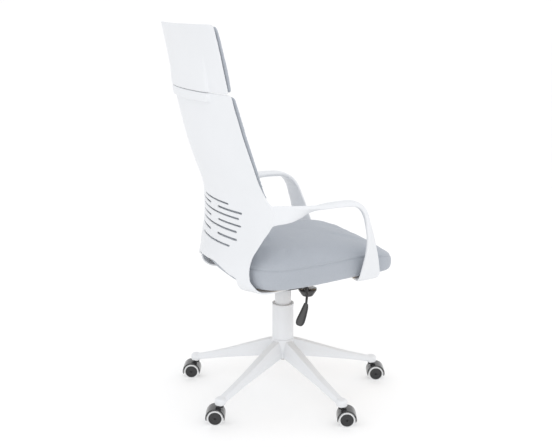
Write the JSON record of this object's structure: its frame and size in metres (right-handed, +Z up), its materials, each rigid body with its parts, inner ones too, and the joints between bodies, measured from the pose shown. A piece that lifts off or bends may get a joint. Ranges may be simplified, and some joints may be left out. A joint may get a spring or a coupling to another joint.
{
  "type": "swivel office chair",
  "caption": "Swivel office chair: one-piece slotted plastic back frame with padded back and headrest, loop arms, gas lift with sleeve covers, tilt mechanism and star base on twin-wheel casters",
  "frame": {"origin": "on the floor, under the middle of the chair's overall box", "axes": "+Z up, the chair faces -Y, +X is the sitter's left"},
  "size_m": [0.6674, 0.6964, 1.174],
  "materials": {
    "white_nylon": "satin moulded white",
    "white_tread": "soft white tread",
    "black_nylon": "glossy moulded black",
    "black_steel": "black powder coat",
    "bright_steel": "bright zinc-plated steel",
    "grey_fabric": "light blue-grey upholstery cloth over foam",
    "birch_ply": "bare moulded plywood"
  },
  "bodies": {
    "base": {"star_base": "white_nylon", "cylinder_tube": "black_steel", "lift_cover_lower": "white_nylon", "guide_bush": "black_nylon", "thrust_bearing": "bright_steel", "caster_stem_1": "bright_steel", "caster_stem_2": "bright_steel", "caster_stem_3": "bright_steel", "caster_stem_4": "bright_steel", "caster_stem_5": "bright_steel"},
    "caster_1": {"caster_hood_1": "black_nylon", "caster_axle_1": "bright_steel"},
    "wheel_1_a": {"caster_wheel_1_a": "black_nylon", "caster_tread_1_a": "white_tread"},
    "wheel_1_b": {"caster_wheel_1_b": "black_nylon", "caster_tread_1_b": "white_tread"},
    "caster_2": {"caster_hood_2": "black_nylon", "caster_axle_2": "bright_steel"},
    "wheel_2_a": {"caster_wheel_2_a": "black_nylon", "caster_tread_2_a": "white_tread"},
    "wheel_2_b": {"caster_wheel_2_b": "black_nylon", "caster_tread_2_b": "white_tread"},
    "caster_3": {"caster_hood_3": "black_nylon", "caster_axle_3": "bright_steel"},
    "wheel_3_a": {"caster_wheel_3_a": "black_nylon", "caster_tread_3_a": "white_tread"},
    "wheel_3_b": {"caster_wheel_3_b": "black_nylon", "caster_tread_3_b": "white_tread"},
    "caster_4": {"caster_hood_4": "black_nylon", "caster_axle_4": "bright_steel"},
    "wheel_4_a": {"caster_wheel_4_a": "black_nylon", "caster_tread_4_a": "white_tread"},
    "wheel_4_b": {"caster_wheel_4_b": "black_nylon", "caster_tread_4_b": "white_tread"},
    "caster_5": {"caster_hood_5": "black_nylon", "caster_axle_5": "bright_steel"},
    "wheel_5_a": {"caster_wheel_5_a": "black_nylon", "caster_tread_5_a": "white_tread"},
    "wheel_5_b": {"caster_wheel_5_b": "black_nylon", "caster_tread_5_b": "white_tread"},
    "rod": {"piston_rod": "bright_steel", "retaining_clip": "bright_steel"},
    "lift": {"pressure_cylinder": "black_steel", "lift_cover_upper": "white_nylon", "mechanism_housing": "black_steel", "pivot_pin": "bright_steel", "tension_spring": "bright_steel"},
    "button": {"release_button": "bright_steel"},
    "lever": {"lever_rod": "black_steel", "lever_handle": "black_nylon"},
    "tilt": {"seat_plate": "black_steel", "seat_board": "birch_ply", "seat_cushion": "grey_fabric", "back_shell": "white_nylon", "headrest_shell": "white_nylon", "back_cushion": "grey_fabric", "headrest_cushion": "grey_fabric", "arm_left": "white_nylon", "arm_right": "white_nylon"},
    "knob": {"tension_knob": "black_nylon"}
  },
  "joints": [
    {"name": "caster_1_swivel", "type": "hinge", "parent": "base", "child": "caster_1", "pos_m": [0.29075, -0.12723, 0.05], "axis": [0, 0, 1], "continuous": true},
    {"name": "wheel_1_a_roll", "type": "hinge", "parent": "caster_1", "child": "wheel_1_a", "pos_m": [0.29709, -0.11363, 0.025], "axis": [-0.9063, 0.4226, 0], "continuous": true},
    {"name": "wheel_1_b_roll", "type": "hinge", "parent": "caster_1", "child": "wheel_1_b", "pos_m": [0.29709, -0.11363, 0.025], "axis": [-0.9063, 0.4226, 0], "continuous": true},
    {"name": "caster_2_swivel", "type": "hinge", "parent": "base", "child": "caster_2", "pos_m": [0.22892, 0.23073, 0.05], "axis": [0, 0, 1], "continuous": true},
    {"name": "wheel_2_a_roll", "type": "hinge", "parent": "caster_2", "child": "wheel_2_a", "pos_m": [0.23526, 0.24432, 0.025], "axis": [-0.9063, 0.4226, 0], "continuous": true},
    {"name": "wheel_2_b_roll", "type": "hinge", "parent": "caster_2", "child": "wheel_2_b", "pos_m": [0.23526, 0.24432, 0.025], "axis": [-0.9063, 0.4226, 0], "continuous": true},
    {"name": "caster_3_swivel", "type": "hinge", "parent": "base", "child": "caster_3", "pos_m": [-0.13061, 0.28254, 0.05], "axis": [0, 0, 1], "continuous": true},
    {"name": "wheel_3_a_roll", "type": "hinge", "parent": "caster_3", "child": "wheel_3_a", "pos_m": [-0.12427, 0.29613, 0.025], "axis": [-0.9063, 0.4226, 0], "continuous": true},
    {"name": "wheel_3_b_roll", "type": "hinge", "parent": "caster_3", "child": "wheel_3_b", "pos_m": [-0.12427, 0.29613, 0.025], "axis": [-0.9063, 0.4226, 0], "continuous": true},
    {"name": "caster_4_swivel", "type": "hinge", "parent": "base", "child": "caster_4", "pos_m": [-0.29099, -0.04339, 0.05], "axis": [0, 0, 1], "continuous": true},
    {"name": "wheel_4_a_roll", "type": "hinge", "parent": "caster_4", "child": "wheel_4_a", "pos_m": [-0.29733, -0.05699, 0.025], "axis": [0.9063, -0.4226, 0], "continuous": true},
    {"name": "wheel_4_b_roll", "type": "hinge", "parent": "caster_4", "child": "wheel_4_b", "pos_m": [-0.29733, -0.05699, 0.025], "axis": [0.9063, -0.4226, 0], "continuous": true},
    {"name": "caster_5_swivel", "type": "hinge", "parent": "base", "child": "caster_5", "pos_m": [-0.03057, -0.29664, 0.05], "axis": [0, 0, 1], "continuous": true},
    {"name": "wheel_5_a_roll", "type": "hinge", "parent": "caster_5", "child": "wheel_5_a", "pos_m": [-0.03691, -0.31024, 0.025], "axis": [0.9063, -0.4226, 0], "continuous": true},
    {"name": "wheel_5_b_roll", "type": "hinge", "parent": "caster_5", "child": "wheel_5_b", "pos_m": [-0.03691, -0.31024, 0.025], "axis": [0.9063, -0.4226, 0], "continuous": true},
    {"name": "seat_swivel", "type": "hinge", "parent": "base", "child": "rod", "pos_m": [0.0135, 0.0092, 0.25], "axis": [0, 0, 1], "continuous": true},
    {"name": "seat_lift", "type": "slide", "parent": "rod", "child": "lift", "axis": [0, 0, 1], "range_m": [0, 0.1]},
    {"name": "lever_lift", "type": "hinge", "parent": "lift", "child": "lever", "pos_m": [-0.043, -0.0128, 0.3957], "axis": [-0.3628, 0.9319, 0], "range_deg": [0, 5], "stiffness_Nm_per_rad": 0.6, "springref_deg": -5.73},
    {"name": "release_press", "type": "slide", "parent": "lift", "child": "button", "axis": [0, 0, -1], "range_m": [0, 0.0053]},
    {"name": "tilt_back", "type": "hinge", "parent": "lift", "child": "tilt", "pos_m": [0.0135, 0.0452, 0.388], "axis": [-1, 0, 0], "range_deg": [0, 10], "stiffness_Nm_per_rad": 90, "springref_deg": -22.92, "deforming": ["tension_spring"]},
    {"name": "knob_turn", "type": "hinge", "parent": "tilt", "child": "knob", "pos_m": [0.0135, -0.0788, 0.309], "axis": [0, 0, 1], "continuous": true}
  ],
  "couplings": [
    {"joint": "release_press", "follows": "lever_lift", "m_per_rad": 0.0605}
  ]
}
